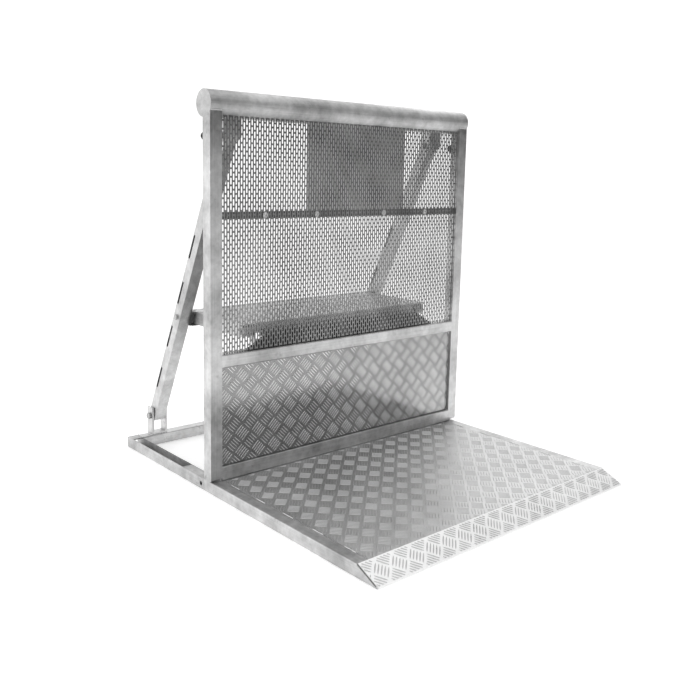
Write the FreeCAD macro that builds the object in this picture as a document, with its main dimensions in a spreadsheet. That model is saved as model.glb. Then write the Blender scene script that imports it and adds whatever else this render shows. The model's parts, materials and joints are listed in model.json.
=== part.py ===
import FreeCAD, Part
import Sketcher
import os
import re

# A folding crowd control barrier of welded aluminium tube: a base with a tread plate floor,
# an upright panel hinged to it, two struts that prop the panel up from behind, and a step.
# Millimetres. X runs along the barrier, -Y faces the crowd, +Z is up. The origin is on the
# ground, in the middle of the barrier's box. Left is -X, as seen from the crowd's side.

document = FreeCAD.newDocument("crowd_control_barrier")

DRIVING_SIZES = {
    # overall
    "panel_width": 1100,          # over the outer faces of the uprights
    "panel_height": 1210,         # ground to the top of the round rail
    "front_reach": 732,           # panel front face to the ramp's tip
    "rear_reach": 568,            # panel front face to the rear end of the base
    # tube stock
    "tube_side": 40,
    "tube_wall": 3,
    "tube_corner": 3,             # outside corner radius
    # base
    "base_height": 37,            # base rails, and the top of the floor
    "rail_inset": 7,              # base rail to the end of the panel
    "ramp_length": 75,
    "ramp_inset": 11.5,           # ramp to the end of the panel
    "tip_height": 3.5,            # ramp's tip above the ground
    "plate_thickness": 4,         # floor and ramp
    "cross_tube_height": 30,      # under the panel
    "access_length": 342,         # open top of each base rail, ahead of the rear tube
    "link_hole": 14,              # hole in each base rail for bolting barriers together
    "link_hole_setback": 31,      # hole behind the panel
    "link_hole_height": 18.5,
    # panel
    "panel_gap": 4,               # base to panel
    "bottom_rail_height": 42,
    "mid_rail_top": 432.5,
    "foot_radius": 12,            # lower front corner of each upright
    "round_rail_diameter": 80,
    "round_rail_setback": 35,     # its centre behind the panel's front face
    "round_rail_wall": 4,
    "end_cap": 4,
    "infill_setback": 10,         # sheets behind the panel's front face
    "infill_thickness": 3,        # tread panel and sign
    "sheet_thickness": 1.5,       # perforated sheet
    "strap_height": 22,
    "strap_thickness": 6,
    "strap_level": 848,           # its centre above the ground
    "strap_bolt": 8,
    "inner_bolt_spacing": 296,
    "outer_bolt_spacing": 700,
    "sign_left": -190,
    "sign_right": 240,
    "toe_strip_height": 48,
    "toe_strip_length": 832,
    "toe_strip_slope": 84,        # how much shorter its top edge is at each end
    "toe_strip_thickness": 4,
    "buffer_diameter": 25,
    "buffer_length": 33,
    "buffer_drop": 132,            # below the top of the panel
    # panel hinge
    "hinge_rod": 16,
    "hinge_bush": 22,
    "hinge_lug_thickness": 10,
    "hinge_lug_spacing": 380,
    "hinge_arm": 16,
    "slot_room": 1.5,             # lug to the slot in the bottom rail
    # struts
    "strut_inset": 113,           # strut centre to the end of the panel
    "strut_depth": 28,            # strut tube, front to back
    "strut_front": 20,            # pivot line to the strut's front face
    "channel_depth": 12,          # slotted channel along the strut's back
    "channel_wall": 2,
    "channel_slot": 86,
    "channel_slot_pitch": 176,
    "strut_top_drop": 85,         # upper pivot below the round rail's centre
    "strut_top_standoff": 41,     # upper pivot behind the panel
    "strut_pin": 14,
    "pin_height": 68.5,           # lower pin above the base
    "pin_travel": 72,             # how far a lock pin pulls out
    "clevis_width": 35,
    "clevis_height": 99,
    "clevis_wall": 7,
    "clevis_room": 2,             # strut to ear
    "foot_clearance": 16.5,       # strut's cut end below the pin
    "web_thickness": 6,           # bracket web under the round rail
    # step
    "step_level": 507,            # top of the step
    "step_depth": 332,
    "step_standoff": 8,           # step to the back of the panel
    "step_half_width": 402,
    "step_plate": 3,
    "step_bolt": 12,
    "step_ear": 6,
    "step_ear_room": 2,
    "rest_wall": 5,
    "rest_bolt": 10,
    # fits
    "running_clearance": 0.05,    # radial, pins and bolts in moving parts
    "seat_gap": 0.3,              # under a moving part that rests on a stop
    "slip": 0.2,                  # sheets in their frame
}

sheet = document.addObject("Spreadsheet::Sheet", "Sizes")
for row, (alias, number) in enumerate(DRIVING_SIZES.items(), start=1):
    sheet.set(f"A{row}", alias)
    sheet.set(f"B{row}", str(number))
    sheet.setAlias(f"B{row}", alias)
document.recompute()

# Places worked out from the driving sizes, as expressions on the sheet's cells.
half_width = "(panel_width / 2)"
opening = "(panel_width / 2 - tube_side)"                      # half the panel's clear width
panel_front = "((front_reach - rear_reach) / 2)"
panel_back = f"({panel_front} + tube_side)"
rear_end = "((front_reach + rear_reach) / 2)"
tip = f"(-{rear_end})"
ramp_top = f"({tip} + ramp_length)"
rail_outer = "(panel_width / 2 - rail_inset)"
rail_inner = f"({rail_outer} - tube_side)"
rear_tube_front = f"({rear_end} - tube_side)"
panel_bottom = "(base_height + panel_gap)"
hinge_y = f"({panel_front} + tube_side / 2)"
hinge_z = f"({panel_bottom} + bottom_rail_height / 2)"
hinge_sweep = "(sqrt((tube_side / 2)^2 + (bottom_rail_height / 2)^2))"
round_y = f"({panel_front} + round_rail_setback)"
round_z = "(panel_height - round_rail_diameter / 2)"
round_radius = "(round_rail_diameter / 2)"
infill_front = f"({panel_front} + infill_setback)"
infill_back = f"({infill_front} + infill_thickness)"
rail_to_sheet = "(round_rail_setback - infill_setback - sheet_thickness)"
infill_top = f"({round_z} - sqrt({round_radius}^2 - {rail_to_sheet}^2) - slip)"
strut_x = "(panel_width / 2 - strut_inset)"
foot_y = f"({rear_end} - tube_side / 2)"
foot_z = "(base_height + pin_height)"
top_y = f"({panel_back} + strut_top_standoff)"
top_z = f"({round_z} - strut_top_drop)"
strut_run = f"({foot_y} - {top_y})"
strut_rise = f"({top_z} - {foot_z})"
strut_span = f"sqrt({strut_run}^2 + {strut_rise}^2)"
strut_lean = f"atan({strut_run} / {strut_rise})"
step_front = f"({panel_back} + step_standoff)"
step_rear = f"({step_front} + step_depth)"
step_top = "(step_level - step_plate)"                         # top of the step's tubes
step_bottom = f"({step_top} - tube_side)"
step_pivot_y = f"({step_front} + tube_side / 2)"
step_pivot_z = f"({step_top} - tube_side / 2)"
step_inner = "(step_half_width - tube_side)"
# down the strut to its rest bolt
rest_reach = f"({strut_span} * ({top_z} - {step_pivot_z} - 6) / {strut_rise})"
clevis_inner = "(tube_side / 2 + clevis_room)"
clevis_outer = f"({clevis_inner} + clevis_wall)"
lug_back = f"({hinge_y} + {hinge_sweep} + slot_room)"          # clear of the bottom rail's corners
hinge_eye = "(tube_side / 2 - tube_wall - 2)"                  # turns inside the bottom rail
sheet_back = f"({infill_front} + sheet_thickness)"


def on_sheet(expression):
    """An expression in which each size names its cell on the sheet."""
    text = str(expression)
    return re.sub(
        r"[a-z_]+", lambda word: f"Sizes.{word[0]}" if word[0] in DRIVING_SIZES else word[0], text
    )


def value(expression):
    """What an expression on the sheet comes to."""
    return float(sheet.evalExpression(on_sheet(expression)))


def bind(item, **expressions):
    """Bind an object's properties to the sheet."""
    for name, expression in expressions.items():
        item.setExpression(name, on_sheet(expression))
    return item


def place(item, x=0, y=0, z=0, turn=None):
    """Bind an object's place, and its turn about X where it has one."""
    for axis, expression in zip("xyz", (x, y, z)):
        item.setExpression(f"Placement.Base.{axis}", on_sheet(expression))
    if turn is not None:
        item.Placement.Rotation = FreeCAD.Rotation(FreeCAD.Vector(1, 0, 0), 1)
        item.setExpression("Placement.Rotation.Angle", on_sheet(turn))
    return item


def box(name, x, y, z):
    """A block between two expressions along each axis."""
    item = document.addObject("Part::Box", name)
    bind(item, Length=f"({x[1]}) - ({x[0]})", Width=f"({y[1]}) - ({y[0]})", Height=f"({z[1]}) - ({z[0]})")
    return place(item, x[0], y[0], z[0])


AXIS_TURNS = {
    "x": FreeCAD.Rotation(FreeCAD.Vector(0, 1, 0), 90),
    "y": FreeCAD.Rotation(FreeCAD.Vector(1, 0, 0), -90),
    "z": FreeCAD.Rotation(),
}


def rod(name, axis, radius, start, length):
    """A cylinder along an axis, from a start point."""
    item = document.addObject("Part::Cylinder", name)
    bind(item, Radius=radius, Height=length)
    item.Placement.Rotation = AXIS_TURNS[axis]
    return place(item, *start)


def hexagon(name, x, across, start_y, start_z, thickness):
    """A hexagonal head or nut, its axis along X."""
    item = document.addObject("Part::Prism", name)
    item.Polygon = 6
    bind(item, Circumradius=f"({across}) / 2 / cos(30)", Height=thickness)
    item.Placement.Rotation = AXIS_TURNS["x"]
    return place(item, x, start_y, start_z)


def cut(name, base, *tools):
    """A piece with each tool cut from it in turn."""
    for number, tool in enumerate(tools, start=1):
        item = document.addObject("Part::Cut", name if number == len(tools) else f"{name}_cut_{number}")
        item.Base = base
        item.Tool = tool
        base = item
    return base


def join(name, *pieces):
    """Pieces joined in one solid, or a group of separate solids."""
    item = document.addObject("Part::MultiFuse", name)
    item.Shapes = list(pieces)
    return item


def side_profile(name, points, x, arcs=()):
    """A plate in the YZ plane between two X expressions. An arc is (number of its first
    point, centre y, centre z) and runs anticlockwise to the next point, +Y to the right."""
    sketch = document.addObject("Sketcher::SketchObject", f"{name}_sketch")
    sketch.Placement = FreeCAD.Placement(FreeCAD.Vector(), FreeCAD.Rotation(FreeCAD.Vector(1, 1, 1), 120))
    corners = [FreeCAD.Vector(value(y), value(z), 0) for y, z in points]
    centres = {first: (y, z) for first, y, z in arcs}
    for number, corner in enumerate(corners):
        following = corners[(number + 1) % len(corners)]
        if number in centres:
            middle = FreeCAD.Vector(value(centres[number][0]), value(centres[number][1]), 0)
            radius = (corner - middle).Length
            angles = [(point - middle).getAngle(FreeCAD.Vector(1, 0, 0)) for point in (corner, following)]
            signs = [1 if point.y >= middle.y else -1 for point in (corner, following)]
            circle = Part.Circle(middle, FreeCAD.Vector(0, 0, 1), radius)
            sketch.addGeometry(Part.ArcOfCircle(circle, signs[0] * angles[0], signs[1] * angles[1]), False)
        else:
            sketch.addGeometry(Part.LineSegment(corner, following), False)
    for number, (y, z) in enumerate(points):
        for kind, expression in (("DistanceX", y), ("DistanceY", z)):
            where = value(expression)
            if abs(where) < 1e-9:
                axis = -2 if kind == "DistanceX" else -1
                sketch.addConstraint(Sketcher.Constraint("PointOnObject", number, 1, axis))
            else:
                held = sketch.addConstraint(Sketcher.Constraint(kind, -1, 1, number, 1, where))
                sketch.setExpression(f"Constraints[{held}]", on_sheet(expression))
    for number in range(len(points)):
        sketch.addConstraint(Sketcher.Constraint("Coincident", number, 2, (number + 1) % len(points), 1))
    item = document.addObject("Part::Extrusion", name)
    item.Base = sketch
    item.DirMode = "Custom"
    item.Dir = FreeCAD.Vector(1, 0, 0)
    item.Solid = True
    bind(item, LengthFwd=f"({x[1]}) - ({x[0]})")
    return place(item, x[0])


def tube(name, axis, x, y, z, closed=False):
    """A rectangular tube along an axis, with rounded outside corners."""
    outer = box(f"{name}_outside", x, y, z)
    document.recompute()
    rounded = document.addObject("Part::Fillet", f"{name}_rounded")
    rounded.Base = outer
    along = {"x": FreeCAD.Vector(1, 0, 0), "y": FreeCAD.Vector(0, 1, 0), "z": FreeCAD.Vector(0, 0, 1)}[axis]
    long_edges = [
        number
        for number, edge in enumerate(outer.Shape.Edges, start=1)
        if abs((edge.Vertexes[1].Point - edge.Vertexes[0].Point).normalize().dot(along)) > 0.99
    ]
    rounded.Edges = [(number, value("tube_corner"), value("tube_corner")) for number in long_edges]
    spans = {"x": x, "y": y, "z": z}
    inside = []
    for direction, (low, high) in spans.items():
        if direction == axis and not closed:
            inside.append((low, high))
        else:
            inside.append((f"{low} + tube_wall", f"{high} - tube_wall"))
    return cut(name, rounded, box(f"{name}_inside", *inside))



# Body of each node: the record repeats this grouping.
sides = {"left": -1, "right": 1}
made = []


def keep(item):
    """Note a finished sub-part, whose Label names its file."""
    made.append(item)
    return item


def span_x(side, low, high):
    """A span of distances from the middle, on one side."""
    return (f"{low}", f"{high}") if sides[side] > 0 else (f"-({high})", f"-({low})")


# Base
for side in sides:
    rail = tube(
        f"{side}_base_rail_tube",
        "y",
        span_x(side, rail_inner, rail_outer),
        (tip, rear_end),
        ("0", "base_height")
    )
    nose = side_profile(
        f"{side}_base_rail_nose",
        [
            (f"{tip} - 1", "-1"),
            (f"{tip} + 1", "-1"),
            (f"{tip} + 1", "0"),
            (ramp_top, "base_height - plate_thickness"),
            (ramp_top, "base_height + 1"),
            (f"{tip} - 1", "base_height + 1"),
        ],
        span_x(side, f"{rail_inner} - 1", f"{rail_outer} + 1"),
    )
    access = box(
        f"{side}_base_rail_access",
        span_x(side, f"{rail_inner} + tube_wall", f"{rail_outer} - tube_wall"),
        (f"{rear_tube_front} - access_length", rear_tube_front),
        ("base_height - tube_wall - 1", "base_height + 1"),
    )
    link = rod(
        f"{side}_base_rail_link_hole",
        "x",
        "link_hole / 2",
        (
            span_x(side, f"{rail_inner} - 1", f"{rail_outer} + 1")[0],
            f"{panel_back} + link_hole_setback",
            "link_hole_height",
        ),
        "tube_side + 2",
    )
    relief = box(
        f"{side}_base_rail_relief", span_x(side, f"{rail_inner} - 1", f"{opening} + seat_gap"),
        (f"{hinge_y} - tube_side / 2", f"{hinge_y} + tube_side / 2"),
        (f"{hinge_z} - {hinge_sweep} - seat_gap", "base_height + 1"),
    )
    keep(cut(f"{side}_base_rail", rail, nose, access, link, relief))

between_rails = (f"-{rail_inner}", rail_inner)
keep(tube("rear_cross_tube", "x", between_rails, (rear_tube_front, rear_end), ("0", "base_height")))
keep(
    tube(
        "hinge_cross_tube",
        "x",
        between_rails,
        (f"{lug_back} + hinge_arm - tube_side", f"{lug_back} + hinge_arm"),
        ("0", "cross_tube_height"),
    ),
)
floor_underside = "(base_height - plate_thickness)"
floor_length = f"({panel_front} - {ramp_top})"
floor_tube_places = {
    "front_floor_tube": ramp_top,
    "middle_floor_tube": f"{ramp_top} + ({floor_length} - tube_side) / 2",
    "rear_floor_tube": f"{panel_front} - tube_side",
}
for name, start in floor_tube_places.items():
    keep(tube(name, "x", between_rails, (start, f"{start} + tube_side"), ("0", floor_underside)))
keep(box("floor_plate", between_rails, (ramp_top, panel_front), (floor_underside, "base_height")))

keep(
    side_profile(
        "ramp_plate",
        [
            (tip, "0"),
            (f"{tip} + 1", "0"),
            (f"{ramp_top}", floor_underside),
            (f"{ramp_top}", "base_height"),
            (tip, "tip_height"),
        ],
        ("-(panel_width / 2 - ramp_inset)", "panel_width / 2 - ramp_inset"),
    )
)

# Clevises for the struts' feet, on the rear cross tube.
for side, sign in sides.items():
    middle = f"{sign} * {strut_x}"
    ears_y = (f"{foot_y} - clevis_width / 2", f"{foot_y} + clevis_width / 2")
    block = box(
        f"{side}_clevis_block", (f"{middle} - {clevis_outer}", f"{middle} + {clevis_outer}"), ears_y,
        ("base_height", "base_height + clevis_height"),
    )
    gap = box(
        f"{side}_clevis_gap", (f"{middle} - {clevis_inner}", f"{middle} + {clevis_inner}"),
        (f"{ears_y[0]} - 1", f"{ears_y[1]} + 1"),
        ("base_height + clevis_wall", "base_height + clevis_height + 1"),
    )
    bore = rod(
        f"{side}_clevis_bore", "x", "strut_pin / 2 + running_clearance",
        (f"{middle} - {clevis_outer} - 1", foot_y, foot_z), f"2 * {clevis_outer} + 2",
    )
    keep(cut(f"{side}_strut_clevis", block, gap, bore))

# Hinge lugs stand on the hinge cross tube and reach into the bottom rail.
lug_places = ("-hinge_lug_spacing", "0", "hinge_lug_spacing")
lugs, bushes = [], []
arm_half = "(hinge_arm / 2)"
eye_back = f"({hinge_y} + sqrt({hinge_eye}^2 - {arm_half}^2))"
for number, place_x in enumerate(lug_places, start=1):
    lug_x = (f"{place_x} - hinge_lug_thickness / 2", f"{place_x} + hinge_lug_thickness / 2")
    plate = side_profile(
        f"hinge_lug_plate_{number}",
        [
            (eye_back, f"{hinge_z} + {arm_half}"),
            (eye_back, f"{hinge_z} - {arm_half}"),
            (lug_back, f"{hinge_z} - {arm_half}"),
            (lug_back, "cross_tube_height"),
            (f"{lug_back} + hinge_arm", "cross_tube_height"),
            (f"{lug_back} + hinge_arm", f"{hinge_z} + {arm_half}"),
        ],
        lug_x,
        arcs=[(0, hinge_y, hinge_z)],
    )
    bore = rod(
        f"hinge_lug_bore_{number}",
        "x",
        "hinge_bush / 2",
        (f"{lug_x[0]} - 1", hinge_y, hinge_z),
        "hinge_lug_thickness + 2"
    )
    lugs.append(cut(f"hinge_lug_{number}", plate, bore))
    sleeve = rod(
        f"hinge_sleeve_{number}", "x", "hinge_bush / 2", (lug_x[0], hinge_y, hinge_z), "hinge_lug_thickness"
    )
    bore = rod(
        f"hinge_sleeve_bore_{number}", "x", "hinge_rod / 2 + running_clearance",
        (f"{lug_x[0]} - 1", hinge_y, hinge_z), "hinge_lug_thickness + 2",
    )
    bushes.append(cut(f"hinge_bush_{number}", sleeve, bore))
keep(join("hinge_lugs", *lugs))
keep(join("hinge_bushes", *bushes))

# Lock pins slide through the clevises and the struts' feet.
pin_head_radius, pin_head = "11", "8"
for side, sign in sides.items():
    outer_face = f"({strut_x} + {clevis_outer})"
    far_end = f"({strut_x} - {clevis_outer} - strut_pin / 2)"
    span = span_x(side, far_end, f"{outer_face} + seat_gap")
    shank = rod(
        f"{side}_lock_pin_shank",
        "x",
        "strut_pin / 2",
        (span[0], foot_y, foot_z),
        f"{outer_face} + seat_gap - {far_end}",
    )
    head_span = span_x(side, f"{outer_face} + seat_gap", f"{outer_face} + seat_gap + {pin_head}")
    head = rod(f"{side}_lock_pin_head", "x", pin_head_radius, (head_span[0], foot_y, foot_z), pin_head)
    keep(join(f"{side}_lock_pin", shank, head))

# Panel
round_rail_tool = rod(
    "round_rail_outline", "x", round_radius, (f"-{half_width} - 1", round_y, round_z), "panel_width + 2"
)
for side in sides:
    outline = [
        (f"{panel_front}", f"{panel_bottom} + foot_radius"),
        (f"{panel_front} + foot_radius", panel_bottom),
        (panel_back, panel_bottom),
        (panel_back, round_z),
        (panel_front, round_z),
    ]
    inner_radius = "(foot_radius - tube_wall)"
    hollow = [
        (f"{panel_front} + tube_wall", f"{panel_bottom} + foot_radius"),
        (f"{panel_front} + foot_radius", f"{panel_bottom} + tube_wall"),
        (f"{panel_back} - tube_wall", f"{panel_bottom} + tube_wall"),
        (f"{panel_back} - tube_wall", f"{round_z} + 1"),
        (f"{panel_front} + tube_wall", f"{round_z} + 1"),
    ]
    centre = (f"{panel_front} + foot_radius", f"{panel_bottom} + foot_radius")
    solid = side_profile(
        f"{side}_upright_outside", outline, span_x(side, opening, half_width), arcs=[(0, *centre)]
    )
    void = side_profile(
        f"{side}_upright_inside", hollow,
        span_x(side, f"{opening} + tube_wall", f"{half_width} - tube_wall"), arcs=[(0, *centre)],
    )
    rod_seat = rod(
        f"{side}_upright_rod_seat", "x", "hinge_rod / 2",
        (span_x(side, f"{opening} - 1", f"{opening} + tube_wall")[0], hinge_y, hinge_z), "tube_wall + 1",
    )
    keep(cut(f"{side}_upright", solid, void, round_rail_tool, rod_seat))

barrel = rod(
    "top_rail_outside",
    "x",
    round_radius,
    (f"-{half_width} + end_cap", round_y, round_z),
    "panel_width - 2 * end_cap",
)
bore = rod(
    "top_rail_inside",
    "x",
    f"{round_radius} - round_rail_wall",
    (f"-{half_width}", round_y, round_z),
    "panel_width"
)
keep(cut("round_top_rail", barrel, bore))
caps = [
    rod(
        f"{side}_top_cap",
        "x",
        round_radius,
        (span_x(side, f"{half_width} - end_cap", half_width)[0], round_y, round_z),
        "end_cap",
    )
    for side in sides
]
keep(join("top_rail_caps", *caps))

across = (f"-{opening}", opening)
keep(tube("mid_rail", "x", across, (panel_front, panel_back), ("mid_rail_top - tube_side", "mid_rail_top")))
rail = tube(
    "bottom_rail_tube",
    "x",
    across,
    (panel_front, panel_back),
    (panel_bottom, f"{panel_bottom} + bottom_rail_height"),
)
slots = [
    box(
        f"bottom_rail_slot_{number}",
        (
            f"{place_x} - hinge_lug_thickness / 2 - slot_room",
            f"{place_x} + hinge_lug_thickness / 2 + slot_room",
        ),
        (f"{hinge_y} - {arm_half} - slot_room", f"{panel_back} + 1"),
        (f"{panel_bottom} - 1", f"{hinge_z} + {arm_half} + slot_room"),
    )
    for number, place_x in enumerate(lug_places, start=1)
]
keep(cut("bottom_rail", rail, *slots))
keep(
    rod(
        "hinge_rod",
        "x",
        "hinge_rod / 2",
        (f"-{opening} - tube_wall", hinge_y, hinge_z),
        f"2 * ({opening} + tube_wall)",
    ),
)

bolt_places = (
    "-outer_bolt_spacing / 2", "-inner_bolt_spacing / 2", "inner_bolt_spacing / 2", "outer_bolt_spacing / 2"
)
strap_back = f"({sheet_back} + strap_thickness)"


def bolt_holes(name, start_y, depth):
    """Holes for the strap's bolts."""
    return [
        rod(f"{name}_{number}", "y", "strap_bolt / 2", (x, start_y, "strap_level"), depth)
        for number, x in enumerate(bolt_places, start=1)
    ]


mesh_blank = box("perforated_sheet_blank", across, (infill_front, sheet_back), ("mid_rail_top", infill_top))
keep(
    cut(
        "perforated_sheet",
        mesh_blank,
        *bolt_holes("sheet_hole", f"{infill_front} - 1", "sheet_thickness + 2"),
    ),
)
strap_low, strap_high = "(strap_level - strap_height / 2)", "(strap_level + strap_height / 2)"
strap_blank = box("sheet_strap_blank", across, (sheet_back, strap_back), (strap_low, strap_high))
keep(cut("sheet_strap", strap_blank, *bolt_holes("strap_hole", f"{sheet_back} - 1", "strap_thickness + 2")))
bolts, nuts = [], []
bolt_head, nut_height = "(0.65 * strap_bolt)", "(0.8 * strap_bolt)"
for number, x in enumerate(bolt_places, start=1):
    length = f"sheet_thickness + strap_thickness + {nut_height} + 3"
    shank = rod(
        f"strap_bolt_shank_{number}", "y", "strap_bolt / 2", (x, infill_front, "strap_level"), length
    )
    head = rod(
        f"strap_bolt_head_{number}",
        "y",
        "strap_bolt",
        (x, f"{infill_front} - {bolt_head}", "strap_level"),
        bolt_head,
    )
    bolts.append(join(f"strap_bolt_{number}", shank, head))
    hexagonal = document.addObject("Part::Prism", f"strap_nut_blank_{number}")
    hexagonal.Polygon = 6
    bind(hexagonal, Circumradius="1.625 * strap_bolt / 2 / cos(30)", Height=nut_height)
    hexagonal.Placement.Rotation = AXIS_TURNS["y"]
    place(hexagonal, x, strap_back, "strap_level")
    thread = rod(
        f"strap_nut_bore_{number}",
        "y",
        "strap_bolt / 2",
        (x, f"{strap_back} - 1", "strap_level"),
        f"{nut_height} + 2",
    )
    nuts.append(cut(f"strap_nut_{number}", hexagonal, thread))
keep(join("strap_bolts", *bolts))
keep(join("strap_nuts", *nuts))

keep(
    box(
        "lower_tread_panel", across, (infill_front, infill_back),
        (f"{panel_bottom} + bottom_rail_height", "mid_rail_top - tube_side"),
    )
)
sign_top = f"({infill_top} - infill_thickness)"
keep(
    box(
        "sign_plate",
        ("sign_left", "sign_right"),
        (sheet_back, f"{sheet_back} + infill_thickness"),
        (strap_high, sign_top),
    ),
)

toe_front = f"({infill_back} + 5)"
strip = document.addObject("Part::Wedge", "toe_strip")
bind(
    strip,
    Xmin="-toe_strip_length / 2", Xmax="toe_strip_length / 2",
    X2min="-toe_strip_length / 2 + toe_strip_slope", X2max="toe_strip_length / 2 - toe_strip_slope",
    Ymin="0", Ymax="toe_strip_height", Zmin="0", Zmax="toe_strip_thickness",
    Z2min="0", Z2max="toe_strip_thickness",
)
strip.Placement.Rotation = FreeCAD.Rotation(FreeCAD.Vector(1, 0, 0), 90)
keep(place(strip, "0", f"{toe_front} + toe_strip_thickness", "mid_rail_top"))

# Rubber buffers on the backs of the uprights, each a short stem with a domed end.
buffers = []
for side, sign in sides.items():
    middle = f"{sign} * ({half_width} - tube_side / 2)"
    stem_length = "(buffer_length - buffer_diameter / 2)"
    stem = rod(
        f"{side}_buffer_stem",
        "y",
        "buffer_diameter / 2",
        (middle, panel_back, "panel_height - buffer_drop"),
        stem_length,
    )
    dome = document.addObject("Part::Sphere", f"{side}_buffer_dome")
    bind(dome, Radius="buffer_diameter / 2")
    place(dome, middle, f"{panel_back} + {stem_length}", "panel_height - buffer_drop")
    buffers.append(join(f"{side}_buffer", stem, dome))
keep(join("rubber_buffers", *buffers))

# Brackets under the round rail carry the struts' upper pivots.
eye = "(tube_side / 2)"
web_back = f"({top_y} - strut_front - clevis_room)"
for side, sign in sides.items():
    middle = f"{sign} * {strut_x}"
    web = box(
        f"{side}_bracket_web", (f"{middle} - {clevis_outer}", f"{middle} + {clevis_outer}"),
        (f"{web_back} - web_thickness", web_back), (f"{top_z} - 5", round_z),
    )
    parts = [web]
    ears = {"outer": (clevis_inner, clevis_outer), "inner": (f"-{clevis_outer}", f"-{clevis_inner}")}
    for ear, (low, high) in ears.items():
        parts.append(
            side_profile(
                f"{side}_bracket_{ear}_ear",
                [
                    (f"{top_y} - {eye}", top_z),
                    (f"{top_y} + {eye}", top_z),
                    (f"{top_y} + {eye} / 2", f"{round_z} - {eye} / 2"),
                    (web_back, f"{round_z} - {eye} / 2"),
                    (web_back, top_z),
                ],
                (f"{middle} + ({low})", f"{middle} + ({high})"),
                arcs=[(0, top_y, top_z)],
            )
        )
    bore = rod(
        f"{side}_bracket_bore",
        "x",
        "strut_pin / 2",
        (f"{middle} - {clevis_outer} - 1", top_y, top_z),
        f"2 * {clevis_outer} + 2"
    )
    keep(cut(f"{side}_strut_bracket", join(f"{side}_bracket_blank", *parts), round_rail_tool, bore))

pivot_bolts, pivot_nuts = [], []
for side, sign in sides.items():
    middle = f"{sign} * {strut_x}"
    head_across, head_height, nut = "(1.5 * strut_pin)", "(0.6 * strut_pin)", "(0.8 * strut_pin)"
    low, high = f"({strut_x} - {clevis_outer} - {nut} - 3)", f"({strut_x} + {clevis_outer})"
    shank = rod(
        f"{side}_pivot_shank",
        "x",
        "strut_pin / 2",
        (span_x(side, low, high)[0], top_y, top_z),
        f"{high} - {low}",
    )
    head = hexagon(
        f"{side}_pivot_head",
        span_x(side, high, f"{high} + {head_height}")[0],
        head_across,
        top_y,
        top_z,
        head_height,
    )
    pivot_bolts.append(join(f"{side}_pivot_bolt", shank, head))
    nut_span = span_x(side, f"{strut_x} - {clevis_outer} - {nut}", f"{strut_x} - {clevis_outer}")
    blank = hexagon(f"{side}_pivot_nut_blank", nut_span[0], head_across, top_y, top_z, nut)
    thread = rod(
        f"{side}_pivot_nut_bore", "x", "strut_pin / 2", (f"{nut_span[0]} - 1", top_y, top_z), f"{nut} + 2"
    )
    pivot_nuts.append(cut(f"{side}_pivot_nut", blank, thread))
keep(join("strut_pivot_bolts", *pivot_bolts))
keep(join("strut_pivot_nuts", *pivot_nuts))

# Ears on the back of the mid rail carry the step's pivots.
ear_outer = f"({step_inner} - step_ear_room)"
ear_inner = f"({ear_outer} - step_ear)"
step_eye = "(0.4 * tube_side)"
for side in sides:
    plate = side_profile(
        f"{side}_step_ear_plate",
        [
            (f"{step_pivot_y} - {step_eye}", step_pivot_z),
            (f"{step_pivot_y} - {step_eye}", f"{step_pivot_z} - 0.6 * tube_side"),
            (panel_back, "mid_rail_top - 2"),
            (panel_back, "mid_rail_top - tube_side + 2"),
            (f"{panel_back} + 8", "mid_rail_top - tube_side + 2"),
            (f"{step_pivot_y} + {step_eye}", step_pivot_z),
        ],
        span_x(side, ear_inner, ear_outer),
        arcs=[(5, step_pivot_y, step_pivot_z)],
    )
    bore = rod(
        f"{side}_step_ear_bore", "x", "step_bolt / 2",
        (span_x(side, f"{ear_inner} - 1", f"{ear_outer} + 1")[0], step_pivot_y, step_pivot_z),
        "step_ear + 2",
    )
    keep(cut(f"{side}_step_ear", plate, bore))

pivot_bolts, pivot_nuts = [], []
step_nut, step_head = "(0.7 * step_bolt)", "(0.5 * step_bolt)"
for side in sides:
    low, high = f"({ear_inner} - {step_nut} - 2)", "(step_half_width + seat_gap)"
    shank = rod(
        f"{side}_step_shank",
        "x",
        "step_bolt / 2",
        (span_x(side, low, high)[0], step_pivot_y, step_pivot_z),
        f"{high} - {low}"
    )
    head = hexagon(
        f"{side}_step_head", span_x(side, high, f"{high} + {step_head}")[0], "1.5 * step_bolt",
        step_pivot_y, step_pivot_z, step_head,
    )
    pivot_bolts.append(join(f"{side}_step_bolt", shank, head))
    nut_span = span_x(side, f"{ear_inner} - {step_nut}", ear_inner)
    blank = hexagon(
        f"{side}_step_nut_blank", nut_span[0], "1.5 * step_bolt", step_pivot_y, step_pivot_z, step_nut
    )
    thread = rod(
        f"{side}_step_nut_bore",
        "x",
        "step_bolt / 2",
        (f"{nut_span[0]} - 1", step_pivot_y, step_pivot_z),
        f"{step_nut} + 2"
    )
    pivot_nuts.append(cut(f"{side}_step_nut", blank, thread))
keep(join("step_pivot_bolts", *pivot_bolts))
keep(join("step_pivot_nuts", *pivot_nuts))

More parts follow.
